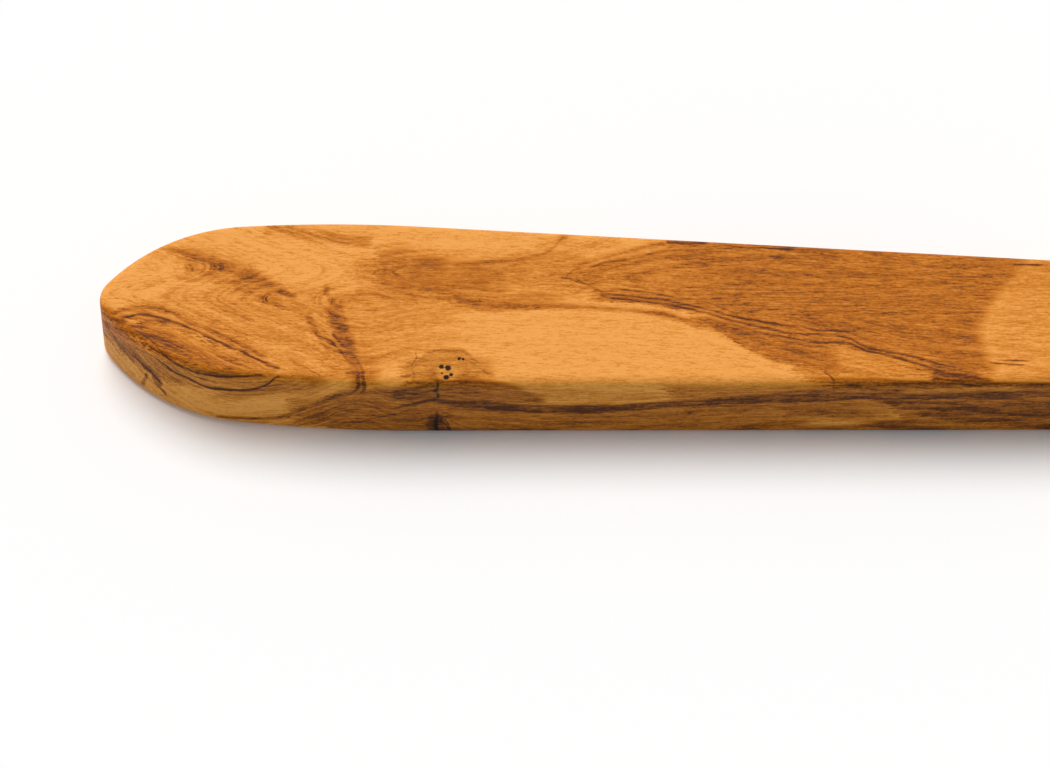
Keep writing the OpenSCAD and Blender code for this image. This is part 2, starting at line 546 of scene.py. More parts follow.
def blot(x, y, long, wide, slant=0, dark=0.6, soft=0.8, rough=2):
    """An oval patch whose long way is turned by a slant in degrees, with a ragged edge."""
    dx, dy = along - x, across - y
    turn_c, turn_s = cos(radians(slant)), sin(radians(slant))
    u = (dx * turn_c + dy * turn_s) / long
    v = (dy * turn_c - dx * turn_s) / wide
    return (u * u + v * v + ragged * rough).step((1 + soft) ** 2, (1 - soft) ** 2) * dark


def over(*layers):
    """Several layers as one, the darkest of them showing."""
    total = layers[0]
    for layer in layers[1:]:
        total = total.maths("MAXIMUM", total, layer)
    return total


def flow_line(*points):
    return [(x / MAP_LONG, (y - MAP_LOW) / MAP_WIDE) for x, y in points]


# How the rings run: over the far half of the top, over its near half, and down the near side.
# Streaks and veins are noise that is drawn out along them.
far_flow, near_flow, side_flow = drawn(
    along_tint,
    flow_line((0, 10.5), (10, 8), (20, 4), (30, 0), (38, -2), (46, -1), (60, 0), (67, 1), (74, 4),
              (82, 6), (95, 7), (115, 6), (135, 6)),
    flow_line((0, 2), (10, -1), (20, -6), (30, -10), (38, -13), (46, -11), (60, -10.5), (76, -10.7),
              (84, -12), (92, -15), (100, -17.5), (110, -20), (120, -22.5), (135, -24)),
    flow_line((0, -5), (4, -11), (8, -17), (12, -21), (19, -24.6), (26, -23.5), (32, -20.5),
              (38, -17.5), (44, -19.8), (50, -18.6), (64, -20), (72, -19.6), (84, -17.7), (94, -16.2),
              (110, -14.7), (132, -14.5)),
).parts()
# Where the near arris lies on the map, past which the figure is that of the near side
arris = drawn(along_tint, flow_line(
    (0, -7.5), (6, -10), (14, -12), (28, -13.2), (50, -13.6), (80, -12.6), (142, -10.3))).parts()[0]
arris = arris * MAP_WIDE + MAP_LOW
down_side = (across - arris + ragged * 0.25).step(0.3, -0.7)
upper = across.step(-1, 6)
flow = near_flow + (far_flow - near_flow) * upper
flow = flow + (side_flow - flow) * down_side
flow = across - flow * MAP_WIDE + (swirl - 0.5) * 1.2
ring_spot = along.node("ShaderNodeCombineXYZ", {}, {0: along * 0.09, 1: flow, 2: down_side * 9})
rings = ring_spot.noise((1, 0.9, 1), detail=3, rough=0.6)
veins = ring_spot.noise((1.3, 2.4, 1), detail=3, rough=0.65)
vein_lines = abs(veins - 0.5).step(0.035, 0.0) * rings.step(0.4, 0.6)

surface = BVHTree.FromObject(handle, bpy.context.evaluated_depsgraph_get())


def spot(name):
    """Where on the map of the wood a point of the photograph lies. A miss takes the nearest."""
    start, way = sight(SEEN[name])
    hit = surface.ray_cast(start, way)[0] or surface.find_nearest(start + way * CAMERA_DISTANCE)[0]
    return (hit.x - butt_x) / MM, (hit.y + hit.z - slab_top) / MM


# The eye at the butt: nested rings cut aslant, with a dark core
eye_tip, eye_tail = spot("eye_near_butt"), spot("eye_tail")
eye = over(
    area((3.6, -5, -4), (6, -8, -3.5), (9.5, -12, -4.2), (13, -15, -5.5), (18, -17, -7.8),
        (23, -16.5, -10.4), (25.4, -14, -12), dark=0.48, edge=0.5, fade=1),
    area((2.5, -7, -4), (5.5, -7.6, -3.9), (8, -10, -3.8), (11, -10.4, -5), dark=0.72, edge=0.6, fade=1),
    area((7, -6.8, -5), (10, -10.3, -6.2), (13.5, -13.2, -7.8), (16.5, -14.5, -9.6), (19, -14.6, -11),
        (22.8, -13.6, -13), dark=0.6, edge=0.4, fade=1),
    stroke((3.8, -4), (5, -3.6), (6.5, -3.3), (9.5, -4), (12.5, -5.1), (17, -7.4), (21.5, -9.5),
        (25.6, -11.8), dark=0.86, soft=0.9, halo=0.7),
    stroke(eye_tip, (3.5, -2.7), (6, -2.3), (9, -2.4), (13, -4.4), (19, -7), (24, -9.8), dark=0.6,
        half=0.6, soft=0.9),
    stroke((12, -5.6), (17, -7.9), (20, -9.4), (23, -10.9), dark=0.66, half=0.24, soft=0.9),
    stroke((3.9, -4.3), (5.6, -6), (7.6, -7.6), (9.1, -9), (10.2, -10.6), (13, -12.7), (15.8, -13.8),
        (19, -13.9), (23.6, -13.3), dark=0.91, half=0.42, soft=0.9, halo=0.8),
    stroke((3.2, -5.2), (4.5, -7.2), (6.2, -9.2), (8, -11), (9.3, -12, 1.5), (11, -13.9, 1.6),
        (13, -15.1, 1.6), (18.3, -17.3, 1.6), (21, -17.2, 1.6), (23.8, -16.2, 1.6), (*eye_tail, 1.4),
        dark=0.66, half=0.38, soft=0.9, halo=0.7),
    stroke((3.8, -7.4), (5.6, -9.8), (8.6, -13.2), (11, -15.4), (14.5, -17.2), dark=0.6, soft=0.9,
        halo=0.6),
    stroke((14, -14.6), (18, -15.4), (22, -15.2), dark=0.64, half=0.24),
)
nose = over(
    area((0.3, -10, -1.6), (2, -11.5, -2.6), (4, -13.5, -6), (7, -15.5, -9.5), (11, -17.5, -13.5),
        dark=0.56),
    area((20, -19.5, -14), (24, -18.5, -13), (31, -16.5, -12.6)),
    area((8, -18, -11.5), (15, -18, -14.5), (24, -18.5, -17.5), dark=0.2),
    area((2, -24, -11), (10, -24, -16), dark=0.12),
    stroke((1, -6.5), (1.6, -8), (4, -11.2), (7, -14.5), (8.1, -16), (9, -18), dark=0.84, half=0.35,
        halo=0.4),
    stroke((6.9, -17), (6.3, -18.6), dark=0.7),
    stroke((8, -16.8), (8.6, -18.5), (9.5, -20), dark=0.7),
    stroke((8, -24.9), (16, -25.3), dark=0.75, half=0.24),
)
# The bands that cross the widest part
band = over(
    stroke((8.5, 8.1, 0.8, 0.2), (11, 7.5, 0.9, 0.5), (14, 6.8, 1, 1), (18, 5.3), (22, 3.4),
        (25, 1.8, 1, 0.8), (27.6, 0.7, 1, 0.4), dark=0.6, half=1.6, soft=0.8),
    stroke((10, 7.9), (16, 5.8), (20, 4), (26, 1.2), dark=0.58, half=0.48, soft=0.95, halo=0.9),
    stroke((13, 4.8), (20, 2.4), (25, 0.2), (30, -2.5), dark=0.46, half=0.9, soft=0.95),
    blot(26.6, 1, 1.3, 0.5, slant=-20, dark=0.85, soft=0.5, rough=1),
    stroke((20, 1.6), (21.8, 0.9), (26, -1.2), dark=0.58, half=0.48, halo=0.8),
    area((22, -1.2, 1), (24, -1.8, 0.2), (26.5, -2.4, -0.6), dark=0.45, edge=0.8),
    stroke((12, 3), (17, 2.5), dark=0.42, half=0.5, soft=0.8),
    stroke((28, -0.5), (30, -1.4), (32, -2.5), dark=0.42, half=0.64, soft=0.8),
    stroke((24, 12.2), (28, 11.6), (33, 10.8), (38, 10.2), dark=0.46, half=1, soft=0.95),
    stroke((33.8, -1.4), (34.4, -3.4), (35.3, -6), (36.4, -9), (37.6, -12), dark=0.7, half=1.5, soft=0.95),
    stroke((30.2, -2.6), (31.4, -5.4), (33.4, -8.6), dark=0.56, half=0.7, soft=0.95),
    stroke((34.6, -0.6), (35.6, -4), (36.4, -7), dark=0.62, half=0.3, soft=0.95, halo=0.7),
    stroke((32.5, 1.5), (33.6, -1), (34.2, -4), (34.6, -6), dark=0.62, half=0.64, soft=0.95, halo=0.9),
    stroke((31.5, -6, 1, 0.7), (33.3, -6.8), (34.5, -8), (35.5, -9.3), (36.6, -10.6), (37.4, -11.6),
        (37.9, -13), (37.9, -14.5), (37.5, -16), (36.6, -17.2), (35, -18.6, 1, 1.6), (33, -19.7, 1, 1.6),
        (31.5, -20.6, 1, 1.5), (29.5, -21.9), (27.5, -23.1), dark=0.76, half=0.48, soft=0.9, halo=1.3),
    stroke((27.5, -23.1), (26, -24), (22, -24.6), (18, -24.6), dark=0.75, half=0.4, halo=0.5),
    stroke((34, -6), (36, -8.3), (37.8, -10.6), (38.6, -13.5), (38.7, -15), (38.2, -16.8), (37, -18),
        dark=0.75, half=0.35, halo=0.6),
    area((33.5, -9, -6), (36, -13, -7), (39.2, -14.5, -9), dark=0.42, edge=1.2, fade=2),
    blot(29.5, -14.5, 1.8, 2.6, dark=0.42, soft=0.7, rough=1.5),
)
blotches = over(
    area((40.2, 2.2, 9.2), (43, 1.6, 9.4), (45.5, 2, 8), (50, 2.6, 6.4, 0.7), edge=1.6, fade=1.6),
    blot(42.8, 6.4, 2, 2.6, dark=0.5, rough=2.2),
    stroke((41, 3), (46, 2.4), (52, 2.6), dark=0.62, half=0.5, soft=0.95, halo=0.8),
    stroke((41, 7.5), (46, 5.2), (52, 4.4), dark=0.58, half=0.5, soft=0.95, halo=0.8),
    area((50.2, 0.8, 7), (53, 0.6, 7.2), (55.8, 0.8, 7), (58, 0.4, 7.4, 0.8), edge=1.2, fade=2.5),
    blot(52.8, 4.6, 2.8, 2.4, dark=0.66, rough=2.2),
    blot(47.4, 5.4, 3, 2.2, dark=0.62),
    blot(51.6, 4.6, 2.6, 1.6),
    blot(62, 1.2, 3.4, 1, dark=0.5, rough=1.2),
    blot(43.5, 2.6, 2, 1),
)
# The two forks, each split by paler wood, whose lower legs go on to the right
fork_tip = spot("second_fork")
fork = over(
    stroke((51, 6.2, 1, 1.6), (54, 7, 1, 1.6), (58, 7.6, 1, 1.3), (62, 8.5), (64, 9.3), (66, 11.8),
        dark=0.56, half=0.5, soft=0.9, halo=1.2),
    stroke((50.5, 2, 1, 2), (52, 0.6, 1, 2.6), (56, 0, 1, 2.4), (60, -0.2, 1, 1.6), (66, 0, 1, 1.3),
        (74, -0.3), (80, -0.8), (84.8, -2), (88.5, -3.2), (92.4, -5.8), (96.5, -8), (100.6, -9.1),
        (104.2, -10.1), dark=0.58, half=0.42, soft=0.9, halo=0.6),
    stroke((104.2, -10.1), (105.5, -11.9), (105.5, -13.5), dark=0.7, half=0.29),
    area((61, 4, 6.2), (66, 3.6, 6.8), (70, 3.4, 7), dark=0.46, edge=0.8),
    stroke(fork_tip, (67.4, 5.8), (68.2, 6.4), (70, 6.9), (73, 7.8), (76.5, 8.6), (80.5, 9.9),
        (84.5, 10.4), (90, 10.8), (95, 10.5), dark=0.7, half=0.38, soft=0.9, halo=0.8),
    stroke((70, 7.6), (74, 9.2), (78, 10.5), (80.5, 11.3), dark=0.58, half=0.35, soft=0.9, halo=0.8),
    stroke(fork_tip, (67.6, 4.7), (68.6, 4.4, 1, 1.4), (71, 3.3, 1, 1.4), (72.4, 2.8), (74, 3), (78, 2.9),
        (82, 2.1), (86.5, 1.5), (90.5, -0.1), dark=0.7, half=0.35, soft=0.9, halo=0.8),
    stroke((72.5, 2.3), (78, 1.9), (84, 0.9), (88, -0.1), (92, -1.2), (96, -1.9), (100, -2.4), (104, -3),
        (108, -3), soft=0.9),
    stroke((74, 1.6), (82, 0.7), (88, -0.8), (92, -2), (96, -2.9), (100, -3.6), (106, -3.7),
        (110.4, -5.7), (116.1, -6.9), (121.4, -8.5), half=0.35, soft=0.9, halo=0.5),
    stroke((96, -3.8), (104, -5.1), (106.2, -4.9), (110, -6.2), (115.7, -7.7), (120, -9.2), soft=0.9),
    area((73, 1, 3.3), (80, 0.4, 2.9), (88, -1.3, 0.9), (96, -3.4, -1.4), (104, -5.2, -2.6),
        (108, -6, -3.2), (114, -7.4, -6.4), (119, -9, -7.8), dark=0.55, edge=0.4),
    stroke((75, 4.5), (78, 6.3), (82, 7), dark=0.58, half=0.26),
    area((69, 4.2, 6.2), (74, 3.6, 8.2), (80, 3, 9.6), (88, 1, 10.4), edge=0.5),
    area((83, 8.4, 9.4), (90, 8.4, 9.4), dark=0.68, edge=0.4),
    stroke((82, 11.5), (86.5, 11.5), dark=0.88, half=0.35),
    stroke((90, 11.2), (95.5, 10.9), (99, 11), half=0.24),
    stroke((99.5, 11.5), (95, 7), (93, 4.8), (91, 1), dark=0.68, half=1.3, soft=0.9),
)
spear_x, spear_y = spot("bundle_point")
spearhead = over(
    area((115.5, -9, -7.6, 0.3), (119, -10.8, -7.6, 0.8), (121, -12.8, -7.2), (123, -13.4, -7.8),
        (125.5, -13, -8.8), (spear_x, spear_y - 0.8, spear_y + 0.4), dark=0.74, edge=0.8, fade=1),
    stroke((129.5, -7.3), (132, -7.3), half=0.18),
    stroke((128, -7.8), (131.7, -8), dark=0.75, half=0.15),
    stroke((132, 9.3), (134.5, 9.3), half=0.15),
)
heart_edge = drawn(across_tint, [((y - MAP_LOW) / MAP_WIDE, x / MAP_LONG) for x, y in (
    (128.5, -8.5), (126.2, -3.5), (126.8, 0), (128.4, 3), (130.8, 6.5), (133.5, 9.5))]).parts()[0]
heart_end = (along_map - heart_edge + ragged * (0.8 / MAP_LONG)).step(2.2 / MAP_LONG, -1.6 / MAP_LONG)
left_ground = over(
    area((6, -6, -1.6), (14, -6, 2), (22, -10, 2), (30, -14, 2.5), (38, -12, 2), (48, -9, 2, 0.7),
        (52, -8, 0.5, 0.3), dark=0.28, edge=1.5, fade=4),
    area((30, -1.8, -0.4), (36, -1, 1.6), (46, -0.6, 6.5), (52, -0.8, 6), dark=0.44, edge=1.5),
    area((40, 3, 8), (44, 6, 9.5), (50, 6, 8.5), dark=0.34, edge=1.5, fade=4),
    area((57, 3.2, 7, 0.5), (62, 2.8, 9.4), (68, 2.2, 9.4), (72, 2.2, 6, 0.8), dark=0.4, edge=1.4),
    area((65, 9.5, 12), (72, 9.5, 12), dark=0.2, edge=1.4),
    stroke((28, -9), (30, -13), (31, -17), dark=0.4, half=1.5, soft=0.95),
)
heart = over(
    area((84, 1.5, 16, 0.9), (92, -1, 16), (100, -3.5, 16), (106, -4.5, 16), (112, -6.6, 16),
        (120, -8.2, 16), (125, -9.5, 16), (140, -11, 16), dark=0.6, edge=1.2) * heart_end,
    area((88, -3.2, -1), (96, -7.8, -3.4), (104, -10, -5.2), dark=0.68, edge=0.5),
    along.step(124, 131) * 0.2 + across.step(3, 6) * along.step(124, 131) * 0.14,
    area((102, -10.5, -4), (112, -10.5, -6), (121, -10.5, -8), dark=0.42, edge=0.5),
)
# The near side: a fan of dark lines from the knot, and the band that runs on from it
check_top = spot("side_check")
side_lines = over(
    stroke((48.5, -18, 1, 1.4), (46.5, -18.8, 1, 1.4), (44.5, -19.7), (43.2, -20.4), dark=0.87, half=0.45,
        halo=0.5),
    stroke((47.5, -19.6), (44.5, -21.2), (43, -22), (39.8, -23.3), (36, -25.6), dark=0.81, half=0.29,
        halo=0.5),
    stroke((47, -21.8), (45.5, -23.4), (42.5, -25.6), dark=0.74, half=0.26, halo=0.5),
    blot(45.6, -16.4, 4.4, 1.9, slant=20, dark=0.8, soft=0.7, rough=0.8),
    blot(48.8, -24.5, 1.6, 3.2, dark=0.9, soft=0.6, rough=0.8),
    stroke(check_top, (48.5, -26.5), dark=0.92, half=0.36),
    stroke((50.2, -23.5), (50.8, -25.5), dark=0.92, half=0.26),
    stroke((50.5, -22.5), (52, -24.5), (54, -25.8), dark=0.78, half=0.26),
    stroke((49, -18.6, 1, 0.6), (54, -19.2), (64, -20.2, 1, 1), (70, -20.2, 1, 0.8), (76, -19.4, 1, 0.8),
        (84, -18, 1, 0.8), (94, -16.4, 1, 1), (104, -15.8, 1, 1), (110, -15.2, 1, 0.8),
        (118, -15.2, 1, 0.7), (132, -14.8, 1, 0.7), dark=0.88, half=1.5),
    stroke((50, -18.2), (56, -18.5), (62, -19.1), (72, -19), (80, -18.2), (90, -16.8), (100, -15.8),
        (112, -14.3), (132, -14.2), half=0.21),
    stroke((51, -20.3), (58, -20.8), (66, -21.2), (74, -20.6), dark=0.78, half=0.2),
    stroke((67, -24.2), (76, -22.4), (82, -21), dark=0.66, half=0.39, halo=0.6),
    stroke((50, -25.6), (62, -25.5), dark=0.74, half=0.39),
    area((107, -13.6, -11.8), (111, -13.6, -12.2), (114, -12.6, -11.4), (120, -12.6, -11.6), dark=0.78,
        edge=0.5),
    stroke((111, -24.2), (117, -24), (124, -23), dark=0.81, half=0.26, halo=0.5),
    stroke((90, -24.5), (96, -24.5), dark=0.78, half=0.26),
)
side_tones_and_bottom_shade = over(
    area((32, -26, -18.5), (36, -27, -16), (43.5, -28, -15), (46, -28, -13), (52, -28, -13, 0.9),
        dark=0.66, fade=5),
    # Painted shade: a dark band along the very bottom of the near side, where it meets the floor
    area((44, -28, -26), (80, -28, -25.8), (132, -28, -25.8), dark=1, edge=0.6),
    area((108, -25, -22.6, 0.5), (116, -25, -21), (124, -25, -22), dark=0.84, edge=1.2, fade=5),
    area((60, -17.6, -14.4), (72, -17.8, -15), (84, -17, -15.4), dark=0.3, edge=0.8),
    area((100, -21, -16.4), (112, -21, -16.4), dark=0.66),
    area((0, -27, -24), (30, -27, -23), dark=0.2),
    area((46, -18.5, -14), (52, -19, -12.6), (58, -19, -13.4), (63, -19, -16), dark=0.68, edge=0.8,
        fade=2),
    area((50, -28, -20, 0.8), (60, -28, -19), (84, -28, -17.6), (100, -28, -16), dark=0.6),
    area((84, -16.5, -13.4), (94, -16.5, -13), (104, -17, -12)),
    area((86, -18, -15.6), (94, -18, -13.8), (104, -18, -13), dark=0.62, fade=5),
    area((103, -22, -15.5), (112, -22, -15.5)),
    area((104, -15, -10.9, 0.7), (112, -15, -10.9, 0.8), (118, -15, -11.2), (150, -15, -10.6), dark=0.78,
        edge=0.6),
    area((113, -17.5, -15), (116, -22, -15), (119, -28, -15), (150, -28, -15), dark=0.78),
    area((114, -28, -22.3), (132, -28, -22.3), dark=0.95),
    area((102, -28, -23), (113, -28, -23), dark=0.7),
)


def pinhole(x, y, r):
    """A small round hole, at its true place and not drawn out along the grain."""
    dx, dy = true_along - x, true_across - y
    return (dx * dx + dy * dy + (speck - 0.5) * (r * r * 3)).step(r * r * 1.5, r * r * 0.5)


# The knot is placed by two points of the photograph: its cluster of holes, and two smaller ones
knot_x, knot_y = spot("knot")
small_x, small_y = spot("knot_pinhole")
KNOT_HOLES = (
    (-0.8, 0.7, 0.34), (0.15, 0.55, 0.42), (-0.05, -1.1, 0.4), (0.6, -0.6, 0.26), (-0.7, -0.4, 0.16))
SMALL_HOLES = ((-0.25, 0.05, 0.24), (0.3, -0.05, 0.2))
check_x, check_y = check_top
pinholes = over(
    stroke((check_x, check_y - 0.4, 0.6, 0.5), (check_x - 0.2, check_y - 2.2),
        (check_x - 0.1, check_y - 4.4), dark=0.95, soft=0.8),
    stroke((check_x + 0.6, check_y - 2), (check_x + 1.6, check_y - 3.6), dark=0.7, half=0.18, soft=0.8),
    *(pinhole(knot_x + dx, knot_y + dy, r) for dx, dy, r in KNOT_HOLES),
    *(pinhole(small_x + dx, small_y + dy, r) for dx, dy, r in SMALL_HOLES),
)
knot_stain = over(
    area((45.6, -13, -9.6), (48, -14.4, -8.6), (52, -14.2, -8.4), (55, -12.8, -9.4), dark=0.4, edge=0.8,
        fade=2),
    stroke((45.2, -12.6), (46.4, -10), (48.6, -8.4), (51.4, -8.2), (54, -9.4), (56.2, -12), dark=0.5,
        half=0.5, soft=0.95),
    stroke((42, -16.5), (45, -15.4), (47.6, -14.8), (49.4, -14.6), half=0.22, soft=0.9),
    stroke((43, -18.2), (46, -16.8), (48.6, -16.6), half=0.22, soft=0.9),
    blot(knot_x - 0.4, knot_y - 0.6, 2.4, 2, dark=0.55, rough=0.8),
    stroke((knot_x - 1.2, knot_y - 2.8, 1, 0.6), (knot_x - 1.5, knot_y - 4.1),
        (knot_x - 1.2, knot_y - 5.4, 1, 0.6), dark=1, half=0.55, soft=0.95),
    stroke((45.9, -9.6), (45.4, -11), (45.7, -12.6), dark=0.6, half=0.15),
    stroke((52, -9), (55, -10.8), (56, -12), dark=0.6, half=0.15),
)
paler = over(
    blot(knot_x + 0.2, knot_y - 0.3, 1.5, 1.3, dark=0.8, soft=0.5, rough=0.5),
    area((4.4, -5.1, -4.1), (6, -5.3, -4.2), dark=0.9, edge=0.2, fade=0.3),
    area((9.5, -6, -4.9), (13, -7.4, -6), (18, -10, -8.6), dark=0.6, edge=0.4),
    area((104, -9.8, -6), (110, -9.9, -7.4), (117, -10.2, -8.9), (119.5, -10, -9.6), dark=0.25, edge=0.5),
    area((118, -14.3, -13.2), (124, -13.8, -12.6), (129.5, -13.2, -11.8), edge=0.3),
    area((112, -22, -17), (122, -24, -21), (132, -25, -22.5), dark=0.3, edge=0.6),
)

# All the layers as one darkness, livelier in the wood near the butt, and then as colours. The near side
# takes a darker, yellower copy of the colours: partly a yellower hue of the wood itself, partly painted
# shade.
tone = over(eye, nose, band, blotches, fork, spearhead, heart, left_ground, side_lines, side_tones_and_bottom_shade,
            knot_stain)
tone = (tone - paler * tone * 0.8) + 0.04 + (swirl - 0.5) * 0.16
lively = along.step(50, 30)
tone = tone + (rings - 0.5) * (tone * 0.5 + 0.42 + lively * 0.22) + (veins - 0.5) * (lively * 0.3 + 0.34)
tone = tone + vein_lines * (lively * 0.16 + 0.16)
past_arris = across - arris
# Painted shade: a little darker in a band along the near arris, where the top rounds over, from 18 to 32
# mm past the butt on
tone = tone + past_arris.step(1.4, 1.05) * past_arris.step(-1.6, -0.2) * along.step(18, 32) * 0.08
tone = tone + (fibre - 0.5) * (1.1 - tone * 0.35) + (speck - 0.5) * (0.95 - tone * 0.4)
on_top = tone.ramp((0.0, (243, 166, 80)), (0.3, (222, 140, 50)), (0.65, (186, 104, 17)),
                   (0.85, (142, 76, 20)), (1.0, (92, 46, 18)))
side_in_painted_shade = tone.ramp((0.0, (220, 160, 72)), (0.3, (196, 136, 48)), (0.65, (160, 101, 27)),
                    (0.85, (118, 71, 18)), (1.0, (64, 34, 12)))
# The near side, and the knot's stain in part, take the darker copy: on the side it is painted shade
olive = (down_side * 0.6 + knot_stain * 0.5).mix(on_top, side_in_painted_shade)
wire(wood, "Base Color", pinholes.mix(olive, paint(20, 8, 3)))
wire(wood, "Roughness", (fibre - 0.5) * 0.3 + (rings - 0.5) * 0.2 + 0.5)
bump(wood, 0.5, 0.05 * MM, (fibre - speck * 0.4) - pinholes * 6)


# ---- Ferrule ----
# A short tube of sheet brass, folded to the neck's section and soldered along a seam underneath.
# It is pushed over the wood's thinner end, and its rims are rounded with a file.
ferrule = block("ferrule_tube", (ferrule_low + ferrule_high) / 2, ferrule_high - ferrule_low)
pick(ferrule, "EDGE", lambda a, b: abs(a.x - b.x) > MM)
round_off(ARRIS_R, 8)
pick(ferrule, "FACE", lambda centre, normal: abs(normal.x) > 0.9)
bpy.ops.mesh.delete(type="FACE")
done()
reshape(ferrule, "SOLIDIFY", thickness=1 * MM, offset=-1)
cut_out(ferrule, pin_drill())
reshape(ferrule, "BEVEL", width=0.2 * MM, segments=3, limit_method="ANGLE", angle_limit=radians(60))
bpy.ops.object.shade_smooth_by_angle(angle=radians(35))

brass, place = new_finish("ferrule_brass", ferrule, {"Metallic": 1.0})
lap = place.noise((9, 0.5, 0.5), detail=3)
dull = place.noise((0.25, 0.25, 0.25), detail=3)
spots = place.noise((1.1, 1.1, 1.1), detail=3)
tarnish = (dull * 0.7 + spots * 0.3).step(0.44, 0.66)
seam_side = place.part("Y") + (dull - 0.5) * 0.3
seam = abs(seam_side).step(0.35, 0.12) * place.part("Z").step(0.3, 0.1)
wire(brass, "Base Color", seam.mix(
    tarnish.mix(paint(226, 186, 112), paint(206, 162, 92)), paint(196, 186, 160)))
wire(brass, "Roughness", lap * 0.16 + tarnish * 0.14 + 0.2)
bump(brass, 0.25, 0.03 * MM, lap + seam * 1.5)
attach(ferrule, "root")
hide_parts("ferrule")


# ---- Ferrule pins ----
# Two dome-headed brass nails, one through each narrow side of the ferrule into the wood of the
# neck. They are turned here from one outline, and the second is the first in a mirror.
PIN_HEAD_R = 1.5 * MM
PIN_HEAD_H = 0.7 * MM
dome_r = (PIN_HEAD_R ** 2 + PIN_HEAD_H ** 2) / (2 * PIN_HEAD_H)
pins = start_at("ferrule_nails", (pin_x, neck_half + PIN_HEAD_H, pin_z))
bpy.ops.mesh.spin(steps=8, angle=asin(PIN_HEAD_R / dome_r), axis=(0, 0, 1),
                  center=(pin_x, neck_half + PIN_HEAD_H - dome_r, pin_z))
draw_out((PIN_R - PIN_HEAD_R, 0, 0))
draw_out((0, 2 * PIN_R - PIN_RUN, 0))
draw_out((-PIN_R, -2 * PIN_R, 0))
pick_all()
bpy.ops.mesh.spin(steps=32, angle=2 * pi, center=(pin_x, 0, pin_z), axis=(0, 1, 0))
weld(0.002 * MM)
done()
reshape(pins, "MIRROR", use_axis=ACROSS)
edit()
face_outwards()
done()
bpy.ops.object.shade_smooth_by_angle(angle=radians(40))

nail, place = new_finish("pin_brass", pins, {"Metallic": 1.0})
dents = place.noise((0.9, 0.9, 0.9), detail=3)
wire(nail, "Base Color", dents.step(0.42, 0.62).mix(paint(214, 170, 92), paint(178, 132, 66)))
wire(nail, "Roughness", dents * 0.25 + 0.16)
bump(nail, 0.4, 0.1 * MM, dents)
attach(pins, "root")
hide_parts("ferrule_pins")


# ---- Blade and tang ----
# Hardened steel: both broad faces are double-cut, the two narrow edges single-cut, and the heel is
# left plain. The last stretch is drawn in and thinned to the point. The tang is forged to a wedge,
# left softer, and driven into the handle.
POINT_RUN = 75 * MM
POINT_HALF_W, POINT_HALF_T = 7.5 * MM, 1.8 * MM
HEEL_RUN = 12 * MM
SHOULDER_R = 3.5 * MM
SKIN = 0.03 * MM
# How far the cut faces stand back from the blade's long corners and from their own two ends
EDGE_INSET, END_INSET = 0.3 * MM, 0.2 * MM
BOW_STEPS = 12
blade_half_w = blade_high.y
blade_half_t = (blade_high.z - blade_low.z) / 2
point_x = blade_high.x
toothed_x = heel_x + HEEL_RUN
bow_x = point_x - POINT_RUN

# The blank: the heel, then the thinner core that the teeth stand on, then the tang
TOOTH_DEEP = 0.32 * MM
TANG_ARRIS_R = 0.5 * MM
blade = block("blade_and_tang", (heel_x + HEEL_RUN / 2, 0, tang_z),
              (HEEL_RUN, 2 * (blade_half_w - SKIN), 2 * (blade_half_t - SKIN)))
pick(blade, "EDGE", lambda a, b: max(a.x, b.x) < heel_x + SKIN and abs(a.z - b.z) > MM)
round_off(SHOULDER_R, 10)
pick(blade, "FACE", lambda centre, normal: normal.x > 0.99 and centre.x > heel_x + MM)
bpy.ops.mesh.inset(thickness=TOOTH_DEEP, depth=0)
draw_out((point_x - toothed_x, 0, 0))
pick(blade, "FACE", lambda centre, normal: normal.x < -0.99 and centre.x < heel_x + SKIN)
ROOT_STEP = 0.2 * MM
bpy.ops.mesh.inset(thickness=ROOT_STEP, depth=0)
root_half_w = blade_half_w - SKIN - SHOULDER_R - ROOT_STEP
root_half_t = blade_half_t - SKIN - ROOT_STEP
squeeze(TANG_HALF_W / root_half_w, TANG_HALF_T / root_half_t)
draw_out((-TANG_RUN, 0, 0))
squeeze(TANG_TIP_HALF_W / TANG_HALF_W, TANG_TIP_HALF_T / TANG_HALF_T)
pick(blade, "EDGE", lambda a, b: min(a.x, b.x) < heel_x - MM and max(a.x, b.x) > heel_x - MM)
round_off(TANG_ARRIS_R, 3)
for k in range(BOW_STEPS):
    pick_all()
    bpy.ops.mesh.bisect(plane_co=(bow_x + POINT_RUN * k / BOW_STEPS, 0, 0), plane_no=(1, 0, 0),
                        threshold=0.001 * MM)


def repeat(piece, count, step):
    """Copies a piece in a row, each copy this step on from the last."""
    reshape(piece, "ARRAY", count=count, use_relative_offset=False, use_constant_offset=True,
            constant_offset_displace=step)


def trim(*cuts):
    """In edit mode, cuts away what lies beyond planes, each given by a spot and a way outwards."""
    for spot, outward in cuts:
        pick_all()
        bpy.ops.mesh.bisect(plane_co=spot, plane_no=outward, clear_outer=True, threshold=0.001 * MM)


def close_under(flat, level):
    """In edit mode, turns the rim of a sheet of teeth down into the core and closes it there."""
    bpy.ops.mesh.select_mode(type="EDGE")
    bpy.ops.mesh.select_all(action="DESELECT")
    bpy.ops.mesh.select_non_manifold()
    draw_out((0, 0, 0))
    bpy.ops.transform.resize(value=flat, center_override=level)
    bpy.ops.mesh.edge_face_add()
    face_outwards()


def other_side(piece):
    """A copy of a sheet of teeth, turned over onto the opposite side of the blade."""
    done()
    bpy.ops.object.duplicate()
    copy = bpy.context.object
    edit()
    pick_all()
    bpy.ops.transform.rotate(value=pi, orient_axis="X", center_override=(0, 0, tang_z))
    done()
    return copy


